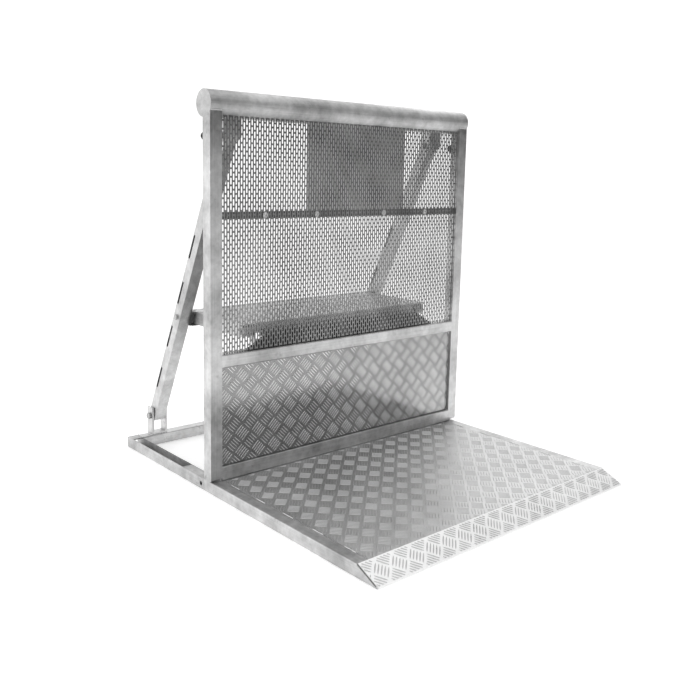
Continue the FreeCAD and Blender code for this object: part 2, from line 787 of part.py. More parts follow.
# Struts
# Each is drawn hanging straight down from its upper pivot, then leant back.
strut_back = "(strut_depth - strut_front)"
tail = "(foot_clearance / cos(" + strut_lean + "))"            # cut end below the pin, along the strut
slope = f"tan({strut_lean})"
for side, sign in sides.items():
    middle = f"{sign} * {strut_x}"
    x_out = (f"{middle} - tube_side / 2", f"{middle} + tube_side / 2")
    x_in = (f"{middle} - tube_side / 2 + tube_wall", f"{middle} + tube_side / 2 - tube_wall")

    def end_cut(y):
        """Level of the strut's foot, which is cut to lie flat over the base."""
        return f"-{strut_span} - {tail} - ({y}) * {slope}"

    outline = [
        ("-strut_front", end_cut("-strut_front")),
        (strut_back, end_cut(strut_back)),
        (strut_back, f"sqrt(strut_front^2 - {strut_back}^2)"),
        ("-strut_front", "0"),
    ]
    solid = side_profile(f"{side}_strut_outside", outline, x_out, arcs=[(2, "0", "0")])
    void = box(
        f"{side}_strut_inside", x_in, ("-strut_front + tube_wall", f"{strut_back} - tube_wall"),
        (f"-{strut_span} - 2 * strut_front", "-strut_front"),
    )
    pivot = rod(
        f"{side}_strut_pivot",
        "x",
        "strut_pin / 2 + running_clearance",
        (f"{x_out[0]} - 1", "0", "0"),
        "tube_side + 2",
    )
    seat_radius = "(strut_pin / 2 + seat_gap)"
    seat = rod(
        f"{side}_strut_seat", "x", seat_radius, (f"{x_out[0]} - 1", "0", f"-{strut_span}"), "tube_side + 2"
    )
    mouth = side_profile(
        f"{side}_strut_mouth",
        [
            (f"-{seat_radius}", f"-{strut_span} - 2 * strut_front"),
            (f"{seat_radius} + strut_front", f"-{strut_span} - 2 * strut_front"),
            (seat_radius, f"-{strut_span}"),
            (f"-{seat_radius}", f"-{strut_span}"),
        ],
        (f"{x_out[0]} - 1", f"{x_out[1]} + 1"),
    )
    rest_hole = rod(
        f"{side}_strut_rest_hole",
        "x",
        "rest_bolt / 2",
        (f"{x_out[0]} - 1", "0", f"-{rest_reach}"),
        "tube_side + 2"
    )
    strut = cut(f"{side}_strut", solid, void, pivot, seat, mouth, rest_hole)
    keep(place(strut, 0, top_y, top_z, turn=strut_lean))

    channel_back = f"({strut_back} + channel_depth)"
    outline = [
        (strut_back, end_cut(strut_back)),
        (channel_back, end_cut(channel_back)),
        (channel_back, f"sqrt(strut_front^2 - {channel_back}^2)"),
        (strut_back, f"sqrt(strut_front^2 - {strut_back}^2)"),
    ]
    blank = side_profile(f"{side}_channel_outside", outline, x_out, arcs=[(2, "0", "0")])
    void = box(
        f"{side}_channel_inside", (f"{x_out[0]} + channel_wall", f"{x_out[1]} - channel_wall"),
        (f"{strut_back} - 1", f"{channel_back} - channel_wall"),
        (f"-{strut_span} - 2 * strut_front", "-strut_front"),
    )
    slots = [
        box(
            f"{side}_channel_slot_{number}", (f"{x_out[0]} - 1", f"{x_out[1]} + 1"),
            (f"{strut_back} + channel_wall / 2", f"{channel_back} - channel_wall"),
            (
                f"-{rest_reach} + ({step}) * channel_slot_pitch - channel_slot / 2",
                f"-{rest_reach} + ({step}) * channel_slot_pitch + channel_slot / 2",
            ),
        )
        for number, step in enumerate(("-1.5", "-0.5", "0.5", "1.5"), start=1)
    ]
    channel = cut(f"{side}_strut_channel", blank, void, mouth, *slots)
    keep(place(channel, 0, top_y, top_z, turn=strut_lean))

# Rests for the step, bolted to the inner faces of the struts.
rest_bolts, rest_nuts = [], []
rest_y = f"({top_y} + {rest_reach} * sin({strut_lean}))"
rest_z = f"({top_z} - {rest_reach} * cos({strut_lean}))"
strut_face = f"({strut_x} - tube_side / 2)"
shelf_top = f"({step_bottom} - seat_gap)"
for side in sides:
    leg_x = span_x(side, f"{strut_face} - rest_wall", strut_face)
    leg = side_profile(
        f"{side}_rest_leg",
        [
            (f"{rest_y} - 30 - 20 * {slope}", f"{rest_z} + 18"),
            (f"{rest_y} - 30 + 24 * {slope}", f"{shelf_top} - rest_wall"),
            (f"{rest_y} + 12 + 24 * {slope}", f"{shelf_top} - rest_wall"),
            (f"{rest_y} + 12 - 20 * {slope}", f"{rest_z} + 18"),
        ],
        leg_x,
    )
    hole = rod(
        f"{side}_rest_hole", "x", "rest_bolt / 2", (f"{leg_x[0]} - 1", rest_y, rest_z), "rest_wall + 2"
    )
    shelf = box(
        f"{side}_rest_shelf", span_x(side, f"{step_inner} + 12", f"{strut_face} - rest_wall"),
        (f"{step_rear} - tube_side", f"{rest_y} + 12 + 24 * {slope}"),
        (f"{shelf_top} - rest_wall", shelf_top),
    )
    keep(join(f"{side}_step_rest", cut(f"{side}_rest_plate", leg, hole), shelf))
    nut, head = "(0.7 * rest_bolt)", "(0.6 * rest_bolt)"
    low = f"({strut_face} - rest_wall - {nut} - 1)"
    high = f"({strut_x} + tube_side / 2)"
    shank = rod(
        f"{side}_rest_shank",
        "x",
        "rest_bolt / 2",
        (span_x(side, low, high)[0], rest_y, rest_z),
        f"{high} - {low}",
    )
    cap = hexagon(
        f"{side}_rest_head",
        span_x(side, high, f"{high} + {head}")[0],
        "1.6 * rest_bolt",
        rest_y,
        rest_z,
        head,
    )
    rest_bolts.append((side, join(f"{side}_rest_bolt", shank, cap)))
    nut_span = span_x(side, f"{strut_face} - rest_wall - {nut}", f"{strut_face} - rest_wall")
    blank = hexagon(f"{side}_rest_nut_blank", nut_span[0], "1.6 * rest_bolt", rest_y, rest_z, nut)
    thread = rod(
        f"{side}_rest_nut_bore", "x", "rest_bolt / 2", (f"{nut_span[0]} - 1", rest_y, rest_z), f"{nut} + 2"
    )
    rest_nuts.append((side, cut(f"{side}_rest_nut", blank, thread)))
for side, bolt in rest_bolts:
    keep(bolt)
for side, nut in rest_nuts:
    keep(nut)

# Step
for side in sides:
    arm_x = span_x(side, step_inner, "step_half_width")
    radius = "(tube_side / 2)"
    outline = [
        (step_pivot_y, step_top),
        (step_pivot_y, step_bottom),
        (step_rear, step_bottom),
        (step_rear, step_top),
    ]
    solid = side_profile(f"{side}_step_arm_outside", outline, arm_x, arcs=[(0, step_pivot_y, step_pivot_z)])
    void = box(
        f"{side}_step_arm_inside", span_x(side, f"{step_inner} + tube_wall", "step_half_width - tube_wall"),
        (step_pivot_y, f"{step_rear} - tube_wall"),
        (f"{step_bottom} + tube_wall", f"{step_top} - tube_wall"),
    )
    pivot = rod(
        f"{side}_step_arm_pivot", "x", "step_bolt / 2 + running_clearance",
        (span_x(side, f"{step_inner} - 1", "step_half_width + 1")[0], step_pivot_y, step_pivot_z),
        "tube_side + 2",
    )
    keep(cut(f"{side}_step_arm", solid, void, pivot))

between_arms = (f"-{step_inner}", step_inner)
beam_places = {
    "step_front_beam": f"{step_front} + tube_side + 4",
    "step_middle_beam": f"({step_front} + {step_rear}) / 2",
    "step_rear_beam": f"{step_rear} - tube_side",
}
for name, start in beam_places.items():
    keep(tube(name, "x", between_arms, (start, f"{start} + tube_side"), (step_bottom, step_top)))
tread = box(
    "step_tread", ("-step_half_width", "step_half_width"), (step_front, step_rear), (step_top, "step_level")
)
lip_end = f"({ear_inner} - {step_nut} - 4)"
lip = box(
    "step_lip",
    (f"-{lip_end}", lip_end),
    (step_front, f"{step_front} + step_plate"),
    (step_bottom, step_top),
)
keep(join("step_plate", tread, lip))

document.recompute()

failed = [item.Label for item in document.Objects if {"Invalid", "Error"} & set(item.State)]
assert not failed, f"failed objects: {failed}"
for item in made:
    shape = item.Shape
    assert not shape.isNull() and shape.isValid() and shape.Solids, f"bad shape: {item.Label}"

os.makedirs("parts", exist_ok=True)
for item in made:
    item.Shape.exportStep(f"parts/{item.Label}.step")
print(len(made), "sub-parts")
box_all = made[0].Shape.BoundBox
for item in made[1:]:
    box_all.add(item.Shape.BoundBox)
print("size", round(box_all.XLength, 2), round(box_all.YLength, 2), round(box_all.ZLength, 2))
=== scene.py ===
import json
import math

import bmesh
import bpy
from mathutils import Matrix, Vector


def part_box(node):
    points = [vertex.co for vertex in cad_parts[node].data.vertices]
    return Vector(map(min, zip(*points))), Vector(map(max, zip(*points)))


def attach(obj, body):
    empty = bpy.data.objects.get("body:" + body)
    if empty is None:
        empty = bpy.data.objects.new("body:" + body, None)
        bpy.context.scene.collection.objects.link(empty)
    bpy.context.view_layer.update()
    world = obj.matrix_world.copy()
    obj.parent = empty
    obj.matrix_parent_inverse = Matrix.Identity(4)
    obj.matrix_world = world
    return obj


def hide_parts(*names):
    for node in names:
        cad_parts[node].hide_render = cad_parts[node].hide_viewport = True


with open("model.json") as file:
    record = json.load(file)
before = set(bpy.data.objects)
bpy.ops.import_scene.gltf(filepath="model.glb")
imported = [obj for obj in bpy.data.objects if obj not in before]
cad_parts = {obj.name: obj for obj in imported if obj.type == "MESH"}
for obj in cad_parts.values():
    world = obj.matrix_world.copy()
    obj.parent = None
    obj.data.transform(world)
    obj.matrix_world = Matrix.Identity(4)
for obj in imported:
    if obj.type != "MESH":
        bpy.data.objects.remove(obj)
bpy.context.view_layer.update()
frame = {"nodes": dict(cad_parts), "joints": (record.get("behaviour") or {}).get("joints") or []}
mm = 0.001
print("frame loaded:", len(frame["nodes"]), "nodes")


def lowHigh(node):
    low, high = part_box(node)
    return Vector(low), Vector(high)


sheetLow, sheetHigh = lowHigh("perforated_sheet")
floorLow, floorHigh = lowHigh("floor_plate")
rampLow, rampHigh = lowHigh("ramp_plate")
kickLow, kickHigh = lowHigh("lower_tread_panel")
stepLow, stepHigh = lowHigh("step_plate")
uprightLow, uprightHigh = lowHigh("right_upright")
midLow, midHigh = lowHigh("mid_rail")
bottomLow, bottomHigh = lowHigh("bottom_rail")
rearLow, rearHigh = lowHigh("rear_cross_tube")
roundLow, roundHigh = lowHigh("round_top_rail")
clevisLow, clevisHigh = lowHigh("right_strut_clevis")
joints = {joint["name"]: joint for joint in frame["joints"]}


class Wire:
    def __init__(self, paint, socket):
        self.paint = paint
        self.socket = socket

    def sum(self, operation, *others):
        return self.paint.node("ShaderNodeMath", {"operation": operation}, self, *others)

    def __add__(self, other):
        return self.sum("ADD", other)

    def __mul__(self, other):
        return self.sum("MULTIPLY", other)

    def __sub__(self, other):
        return self.sum("SUBTRACT", other)

    def __rsub__(self, other):
        return self.paint.node("ShaderNodeMath", {"operation": "SUBTRACT"}, other, self)

    __radd__ = __add__
    __rmul__ = __mul__


class Paint:
    def __init__(self, name, tree=None):
        if tree is None:
            self.material = bpy.data.materials.new(name)
            self.material.use_nodes = True
            tree = self.material.node_tree
        self.tree = tree
        self.tree.nodes.clear()

    def node(self, kind, settings=None, *values, output=0, **named):
        made = self.tree.nodes.new(kind)
        for key, setting in (settings or {}).items():
            if key == "stops":
                ramp = made.color_ramp
                while len(ramp.elements) < len(setting):
                    ramp.elements.new(0.5)
                for element, (place, shade) in zip(ramp.elements, setting):
                    element.position = place
                    element.color = (shade, shade, shade, 1)
            else:
                setattr(made, key, setting)
        sockets = [*enumerate(values), *((key.replace("_", " "), value) for key, value in named.items())]
        if kind == "ShaderNodeMix":
            sockets = [(place, named[key]) for place, key in ((0, "Factor"), (6, "A"), (7, "B"))]
        for key, value in sockets:
            if isinstance(value, Wire):
                self.tree.links.new(value.socket, made.inputs[key])
            else:
                made.inputs[key].default_value = value
        return Wire(self, made.outputs[output]) if made.outputs else None

    def place(self, scale=(1, 1, 1), turn=(0, 0, 0)):
        spot = self.node("ShaderNodeTexCoord", output="Object")
        return self.node("ShaderNodeMapping", None, Vector=spot, Scale=scale, Rotation=turn)

    def noise(self, spot, scale, detail=3, rough=0.5):
        return self.node(
            "ShaderNodeTexNoise", None, Vector=spot, Scale=scale, Detail=detail, Roughness=rough
        )

    def ramp(self, value, *stops):
        return self.node("ShaderNodeValToRGB", {"stops": stops}, value)

    def bump(self, height, strength, distance=0.0005):
        return self.node("ShaderNodeBump", None, Height=height, Strength=strength, Distance=distance)

    def close(self, **sockets):
        shader = self.node("ShaderNodeBsdfPrincipled", None, **sockets)
        self.node("ShaderNodeOutputMaterial", None, shader)
        return self.material


def shade(value):
    return (value, value, value, 1)


strutLean = -math.radians(abs(joints["left_strut_fold"]["range_deg"][0]))
metalLook = {
    "darkTone": 0.34,
    "lightTone": 0.74,
    "roughness": 0.33,
    "cloudScale": 7,
    "streakBump": 0.06,
}


def tubeMetal(name, along, tone=1.0, rough=0.0, turn=(0, 0, 0)):
    paint = Paint(name)
    stretch = [420.0, 420.0, 420.0]
    stretch["xyz".index(along)] = 3.0
    spot = paint.place()
    clouds = paint.noise(spot, metalLook["cloudScale"], 5, 0.6)
    blotches = paint.noise(spot, 38, 4, 0.65)
    streaks = paint.noise(paint.place(tuple(stretch), turn), 1, 2, 0.5)
    scuffs = paint.ramp(
        paint.noise(paint.place((1, 1, 1), (0.4, 0.3, 0.9)), 95, 6, 0.72), (0.56, 0), (0.7, 1)
    )
    tones = clouds * 0.55 + blotches * 0.3 + streaks * 0.15
    shades = paint.ramp(
        tones,
        (0.36, metalLook["darkTone"] * tone),
        (0.5, (metalLook["darkTone"] + metalLook["lightTone"]) / 2 * tone),
        (0.64, min(0.95, metalLook["lightTone"] * tone)),
    )
    stains = paint.ramp(paint.noise(spot, 23, 6, 0.7), (0.62, 0), (0.72, 0.55))
    shades = paint.node(
        "ShaderNodeMix", {"data_type": "RGBA"}, output=2, Factor=stains, A=shades, B=shade(
            metalLook["darkTone"] * 0.6
        )
    )
    roughness = metalLook["roughness"] + rough
    roughness = roughness + (blotches - 0.5) * 0.22 + (streaks - 0.5) * 0.12 + scuffs * 0.1
    height = streaks * 0.6 + blotches * 0.25 - scuffs * 0.4
    return paint.close(
        Base_Color=shades, Metallic=1.0, Roughness=roughness, Normal=paint.bump(
            height, metalLook["streakBump"]
        )
    )


def treadMetal(name, low, high, rough):
    paint = Paint(name)
    spot = paint.place()
    clouds = paint.noise(spot, 5, 5, 0.6)
    grain = paint.noise(spot, 160, 4, 0.6)
    shades = paint.ramp(clouds * 0.7 + grain * 0.3, (0.34, low), (0.66, high))
    roughness = rough + (clouds - 0.5) * 0.2 + (grain - 0.5) * 0.12
    return paint.close(Base_Color=shades, Metallic=1.0, Roughness=roughness, Normal=paint.bump(grain, 0.12))


def plainCoat(name, low, high, rough, metallic=0.0, scale=60, bump=0.1):
    paint = Paint(name)
    spot = paint.place()
    clouds = paint.noise(spot, scale / 8, 4, 0.6)
    grain = paint.noise(spot, scale * 6, 3, 0.6)
    shades = paint.ramp(clouds * 0.6 + grain * 0.4, (0.35, low), (0.68, high))
    roughness = rough + (clouds - 0.5) * 0.25 + (grain - 0.5) * 0.1
    return paint.close(
        Base_Color=shades, Metallic=metallic, Roughness=roughness, Normal=paint.bump(grain, bump, 0.0003)
    )


finishes = {
    "tubeX": tubeMetal("aluminium_tube_across", "x", 1.04),
    "round": tubeMetal("aluminium_round_rail", "x", 1.02, 0.26),
    "tubeY": tubeMetal("aluminium_tube_deep", "y", 1.06, 0.2),
    "tubeZ": tubeMetal("aluminium_tube_upright", "z"),
    "strut": tubeMetal("aluminium_strut", "z", 1.0, 0.04, (strutLean, 0, 0)),
    "mesh": tubeMetal("perforated_sheet_metal", "x", 0.5, 0.04),
    # painted shade: the kick panel's tread plate is coloured far darker than the same plate on the floor and
    # step
    "kick": treadMetal("kick_plate_painted_shade", 0.24, 0.36, 0.13),
    # painted highlight: the kick panel's tread bars are coloured near white, brighter than the floor's bars
    "kickBarsPaintedHighlight": treadMetal("kick_bar_painted_highlight", 0.72, 0.9, 0.14),
    "plate": treadMetal("tread_plate_metal", 0.54, 0.68, 0.5),
    "bars": treadMetal("tread_bar_metal", 0.53, 0.67, 0.5),
    # painted light: the ramp plate is coloured near white, a lit copy of the tread plate metal
    "ramp": treadMetal("ramp_painted_light_metal", 0.86, 0.96, 0.36),
    "rampBars": treadMetal("ramp_bar_metal", 0.55, 0.72, 0.3),
    "weld": plainCoat("weld_metal", 0.55, 0.8, 0.3, 1.0, 400, 0.3),
    "sign": plainCoat("sign_plate_metal", 0.6, 0.76, 0.5, 1.0, 40),
    # near-black finish: black rubber pads, darkened further as painted shade of the crevice between strut
    # and step arm
    "dark": plainCoat("black_pad_and_painted_shade", 0.02, 0.06, 0.45, 0.0, 50),
    "strap": plainCoat("strap_coating", 0.1, 0.17, 0.5, 0.4, 50),
    "zinc": plainCoat("zinc_plating", 0.38, 0.6, 0.34, 1.0, 300),
    "bright": plainCoat("bright_zinc", 0.5, 0.7, 0.32, 1.0, 300),
    "rubber": plainCoat("black_rubber", 0.012, 0.03, 0.7, 0.0, 300, 0.3),
    "plastic": plainCoat("black_plastic", 0.01, 0.03, 0.5, 0.0, 200),
    "nylon": plainCoat("nylon_bush", 0.1, 0.2, 0.5, 0.0, 200),
}
nodeFinishes = {
    "tubeX": (
        "rear_cross_tube",
        "hinge_cross_tube",
        "front_floor_tube",
        "middle_floor_tube",
        "rear_floor_tube",
        "mid_rail",
        "bottom_rail", "step_front_beam", "step_middle_beam", "step_rear_beam",
    ),
    "tubeY": ("left_base_rail", "right_base_rail", "left_step_arm", "right_step_arm"),
    "tubeZ": (
        "left_upright", "right_upright", "left_strut_clevis", "right_strut_clevis", "hinge_lugs",
        "left_strut_bracket", "right_strut_bracket", "left_step_ear", "right_step_ear",
    ),
    "strut": ("left_strut", "right_strut", "left_strut_channel", "right_strut_channel"),
    "round": ("round_top_rail", "top_rail_caps"),
    "plate": ("floor_plate", "step_plate"),
    "kick": ("lower_tread_panel",),
    "ramp": ("ramp_plate",),
    "mesh": ("perforated_sheet",),
    "sign": ("sign_plate",),
    # the step rests carry the near-black finish, partly painted shade
    "dark": ("left_step_rest", "right_step_rest"),
    "strap": ("sheet_strap",),
    "zinc": (
        "strap_bolts",
        "strap_nuts",
        "strut_pivot_bolts",
        "strut_pivot_nuts",
        "step_pivot_bolts",
        "step_pivot_nuts",
        "left_rest_bolt",
        "right_rest_bolt",
        "left_rest_nut",
        "right_rest_nut",
        "left_lock_pin",
        "right_lock_pin",
        "hinge_rod",
    ),
    "rubber": ("rubber_buffers",),
    "plastic": ("toe_strip",),
    "nylon": ("hinge_bushes",),
}
for finish, nodes in nodeFinishes.items():
    for node in nodes:
        item = frame["nodes"][node]
        if not item.material_slots:
            item.data.materials.append(finishes[finish])
        for place in item.material_slots:
            place.material = finishes[finish]
unfinished = set(frame["nodes"]) - {node for nodes in nodeFinishes.values() for node in nodes}
print("finishes on CAD nodes; left out:", sorted(unfinished))


def piece(name, bm, finish, body, smooth=False):
    mesh = bpy.data.meshes.new(name)
    bm.normal_update()
    bm.to_mesh(mesh)
    bm.free()
    mesh.materials.append(finishes[finish])
    if smooth:
        mesh.shade_smooth()
    made = bpy.data.objects.new(name, mesh)
    bpy.context.scene.collection.objects.link(made)
    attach(made, body)
    return made


def trim(bm, point, outward):
    # cut away what lies outside a plane, and return the edges along the cut
    whole = bm.verts[:] + bm.edges[:] + bm.faces[:]
    cut = bmesh.ops.bisect_plane(
        bm, geom=whole, dist=1e-6, plane_co=point, plane_no=outward, clear_outer=True, clear_inner=False
    )
    return [item for item in cut["geom_cut"] if isinstance(item, bmesh.types.BMEdge)]


# perforated sheet: upright slots with round ends, every other column half a step down
perforation = {
    "slotWidth": 5.8 * mm,
    "slotHeight": 20.4 * mm,
    "columnPitch": 9.3 * mm,
    "rowPitch": 24.9 * mm,
    "ends": 8,
}


def slottedSheet(name, low, high, columns):
    bm = bmesh.new()
    bmesh.ops.create_grid(bm, x_segments=2, y_segments=2, size=0.5)
    bmesh.ops.delete(bm, geom=[v for v in bm.verts if v.co.length < 0.1], context="VERTS")
    bmesh.ops.create_circle(
        bm, segments=perforation["ends"], radius=0.001, matrix=Matrix.Rotation(math.radians(22.5), 4, "Z")
    )
    rim = [v for v in bm.verts if v.co.length < 0.1]
    bmesh.ops.scale(
        bm,
        vec=(perforation["columnPitch"], perforation["rowPitch"], 1),
        verts=[v for v in bm.verts if v not in rim],
    )
    bmesh.ops.scale(bm, vec=(perforation["slotWidth"] * 500,) * 3, verts=rim)
    half = (perforation["slotHeight"] - perforation["slotWidth"]) / 2
    bmesh.ops.translate(bm, vec=(0, half, 0), verts=[v for v in rim if v.co.y > 0])
    bmesh.ops.translate(bm, vec=(0, -half, 0), verts=[v for v in rim if v.co.y < 0])
    bmesh.ops.bridge_loops(bm, edges=bm.edges[:])
    bmesh.ops.rotate(bm, verts=bm.verts, matrix=Matrix.Rotation(math.radians(90), 3, "X"))
    cell = bm.verts[:] + bm.edges[:] + bm.faces[:]
    rows = math.ceil((high.z - low.z) / perforation["rowPitch"]) + 1
    copies = cell[:]
    for row in range(1, rows):
        again = bmesh.ops.duplicate(bm, geom=cell)["geom"]
        moved = [item for item in again if isinstance(item, bmesh.types.BMVert)]
        bmesh.ops.translate(bm, verts=moved, vec=(0, 0, row * perforation["rowPitch"]))
        copies += again
    nextDoor = bmesh.ops.duplicate(bm, geom=copies)["geom"]
    moved = [item for item in nextDoor if isinstance(item, bmesh.types.BMVert)]
    bmesh.ops.translate(bm, verts=moved, vec=(perforation["columnPitch"], 0, -perforation["rowPitch"] / 2))
    pair = copies + nextDoor
    for number in range(1, columns // 2 + 1):
        again = bmesh.ops.duplicate(bm, geom=pair)["geom"]
        moved = [item for item in again if isinstance(item, bmesh.types.BMVert)]
        bmesh.ops.translate(bm, verts=moved, vec=(number * 2 * perforation["columnPitch"], 0, 0))
    start = Vector((low.x, (low.y + high.y) / 2, low.z - perforation["rowPitch"] / 4))
    bmesh.ops.translate(bm, verts=bm.verts, vec=start)
    bmesh.ops.remove_doubles(bm, verts=bm.verts, dist=0.00005)
    for point, outward in ((low, (-1, 0, 0)), (low, (0, 0, -1)), (high, (1, 0, 0)), (high, (0, 0, 1))):
        trim(bm, point, outward)
    bmesh.ops.recalc_face_normals(bm, faces=bm.faces)
    made = piece(name, bm, "mesh", "panel")
    wall = made.modifiers.new("wall", "SOLIDIFY")
    wall.thickness = high.y - low.y
    wall.offset = 0
    return made


half = 0.5 * (sheetLow.x + sheetHigh.x)
columns = math.ceil((sheetHigh.x - sheetLow.x) / 2 / perforation["columnPitch"]) + 2
seam = sheetLow.x + perforation["columnPitch"] * 2 * round(
    (half - sheetLow.x) / perforation["columnPitch"] / 2
)
leftHalf = slottedSheet("slotted_sheet_left", sheetLow, Vector((seam, sheetHigh.y, sheetHigh.z)), columns)
rightHalf = slottedSheet("slotted_sheet_right", Vector((seam, sheetLow.y, sheetLow.z)), sheetHigh, columns)
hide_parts("perforated_sheet")
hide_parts("perforated_sheet")
print("slotted sheet:", len(leftHalf.data.polygons) + len(rightHalf.data.polygons), "faces")

# tread bars: five to a square cell, the cells turned 45 degrees and alternating
tread = {
    "cell": 43.6 * mm,
    "bars": 5,
    "pitch": 8.7 * mm,
    "length": 37 * mm,
    "width": 4.2 * mm,
    "height": 1.2 * mm,
}


def treadBars(name, body, width, depth, toPlace, finish="bars", phase=(0, 0)):
    bm = bmesh.new()
    sides = 10
    bmesh.ops.create_circle(bm, cap_ends=True, segments=sides, radius=1)
    bmesh.ops.scale(bm, verts=bm.verts, vec=(tread["length"] / 2, tread["width"] / 2, 1))
    top = bmesh.ops.extrude_face_region(bm, geom=bm.faces[:])["geom"]
    raised = [item for item in top if isinstance(item, bmesh.types.BMVert)]
    bmesh.ops.translate(bm, verts=raised, vec=(0, 0, tread["height"] * 0.6))
    bmesh.ops.scale(bm, verts=raised, vec=(0.93, 0.78, 1))
    topFaces = [item for item in top if isinstance(item, bmesh.types.BMFace)]
    crest = bmesh.ops.extrude_face_region(bm, geom=topFaces)["geom"]
    raised = [item for item in crest if isinstance(item, bmesh.types.BMVert)]
    bmesh.ops.translate(bm, verts=raised, vec=(0, 0, tread["height"] * 0.4))
    bmesh.ops.scale(bm, verts=raised, vec=(0.9, 0.5, 1))
    oneBar = bm.verts[:] + bm.edges[:] + bm.faces[:]
    for number in range(tread["bars"]):
        shift = (number - (tread["bars"] - 1) / 2) * tread["pitch"]
        if shift:
            again = bmesh.ops.duplicate(bm, geom=oneBar)["geom"]
            moved = [item for item in again if isinstance(item, bmesh.types.BMVert)]
            bmesh.ops.translate(bm, verts=moved, vec=(0, shift, 0))
    rising = bm.verts[:] + bm.edges[:] + bm.faces[:]
    falling = bmesh.ops.duplicate(bm, geom=rising)["geom"]
    for group, angle in ((rising, 45), (falling, -45)):
        turned = [item for item in group if isinstance(item, bmesh.types.BMVert)]
        bmesh.ops.rotate(bm, verts=turned, matrix=Matrix.Rotation(math.radians(angle), 3, "Z"))
    step = tread["cell"] / math.sqrt(2)
    across, down = int(width / 2 / step) + 2, int(depth / 2 / step) + 2
    for column in range(-across, across + 1):
        for row in range(-down, down + 1):
            if (column + row) % 2:
                continue
            again = bmesh.ops.duplicate(bm, geom=falling if column % 2 else rising)["geom"]
            moved = [item for item in again if isinstance(item, bmesh.types.BMVert)]
            bmesh.ops.translate(bm, verts=moved, vec=(column * step + phase[0], row * step + phase[1], 0))
    spare = {item for item in rising + falling if isinstance(item, bmesh.types.BMVert)}
    bmesh.ops.delete(bm, geom=list(spare), context="VERTS")
    for side in (-1, 1):
        bmesh.ops.holes_fill(bm, edges=trim(bm, (side * width / 2, 0, 0), (side, 0, 0)), sides=0)
        bmesh.ops.holes_fill(bm, edges=trim(bm, (0, side * depth / 2, 0), (0, side, 0)), sides=0)
    bmesh.ops.transform(bm, matrix=toPlace, verts=bm.verts)
    bmesh.ops.recalc_face_normals(bm, faces=bm.faces)
    return piece(name, bm, finish, body)


edge = 3 * mm
floorMiddle = (floorLow + floorHigh) / 2
treadBars(
    "floor_tread_bars",
    "base",
    floorHigh.x - floorLow.x - 2 * edge,
    floorHigh.y - floorLow.y - edge,
    Matrix.Translation((floorMiddle.x, floorMiddle.y, floorHigh.z)),
)
kickMiddle = (kickLow + kickHigh) / 2
# the kick panel's bars take the painted highlight finish
treadBars(
    "kick_tread_bars",
    "panel",
    kickHigh.x - kickLow.x - 2 * edge,
    kickHigh.z - kickLow.z - 2 * edge,
    Matrix.Translation((kickMiddle.x, kickLow.y, kickMiddle.z)) @ Matrix.Rotation(math.radians(90), 4, "X"),
    "kickBarsPaintedHighlight",
)
treadBars(
    "step_tread_bars",
    "step",
    stepHigh.x - stepLow.x - 2 * edge,
    stepHigh.y - stepLow.y - 2 * edge,
    Matrix.Translation(((stepLow.x + stepHigh.x) / 2, (stepLow.y + stepHigh.y) / 2, stepHigh.z)),
)
rampRise = rampHigh.z - 3.5 * mm
rampSlope = math.atan2(rampRise, rampHigh.y - rampLow.y)
rampRun = math.hypot(rampRise, rampHigh.y - rampLow.y)
treadBars(
    "ramp_tread_bars", "base", rampHigh.x - rampLow.x - 2 * edge, rampRun - 3 * edge,
    Matrix.Translation((0, (rampLow.y + rampHigh.y) / 2, rampHigh.z - rampRise / 2)) @ Matrix.Rotation(
        rampSlope, 4, "X"
    ),
    "rampBars",
)
print("tread bars done")

# bolts through the strap: washer, domed head and a round socket
boltHead = {
    "washer": 9.5 * mm,
    "washerThickness": 1.6 * mm,
    "dome": 6.6 * mm,
    "domeHeight": 4.4 * mm,
    "socket": 2.6 * mm,
}
boltSpacing = {"inner": 148, "outer": 350}
boltsLow, boltsHigh = lowHigh("strap_bolts")
nutsHigh = lowHigh("strap_nuts")[1]


def turned(name, finish, body, slot, profile, places, replaced):
    # one profile of (radius, height) spun about each place's outward direction
    bm = bmesh.new()
    done = set()
    for start, outward in places:
        points = [bm.verts.new((radius, 0, height)) for radius, height in profile]
        line = [bm.edges.new(pair) for pair in zip(points, points[1:])]
        bmesh.ops.spin(
            bm, geom=points + line, cent=(0, 0, 0), axis=(0, 0, 1), angle=math.tau, steps=28, use_merge=True
        )
        fresh = [vert for vert in bm.verts if vert not in done]
        facing = Vector((0, 0, 1)).rotation_difference(Vector(outward)).to_matrix().to_4x4()
        bmesh.ops.transform(bm, matrix=Matrix.Translation(start) @ facing, verts=fresh)
        done.update(fresh)
    bmesh.ops.remove_doubles(bm, verts=bm.verts, dist=1e-6)
    bmesh.ops.recalc_face_normals(bm, faces=bm.faces)
    made = piece(name, bm, finish, body)
    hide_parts(replaced)
    return made


threadEnd = sheetLow.y - nutsHigh.y - 2 * mm
outerBolt = -(boltsLow.x + 8 * mm)
innerBolt = outerBolt * boltSpacing["inner"] / boltSpacing["outer"]
boltLevel = (boltsLow.z + boltsHigh.z) / 2
turned(
    "strap_bolt_set", "bright", "panel", "zinc_steel",
    [
        (0, threadEnd), (4 * mm, threadEnd), (4 * mm, 0), (boltHead["washer"], 0),
        (boltHead["washer"], boltHead["washerThickness"]), (boltHead["dome"], boltHead["washerThickness"]),
        (boltHead["dome"] * 0.94, boltHead["domeHeight"] * 0.7),
        (boltHead["dome"] * 0.72, boltHead["domeHeight"]),
        (boltHead["socket"], boltHead["domeHeight"]),
        (boltHead["socket"], boltHead["domeHeight"] - 2.5 * mm),
        (0, boltHead["domeHeight"] - 2.5 * mm),
    ],
    [((x, sheetLow.y, boltLevel), (0, -1, 0)) for x in (-outerBolt, -innerBolt, innerBolt, outerBolt)],
    "strap_bolts",
)

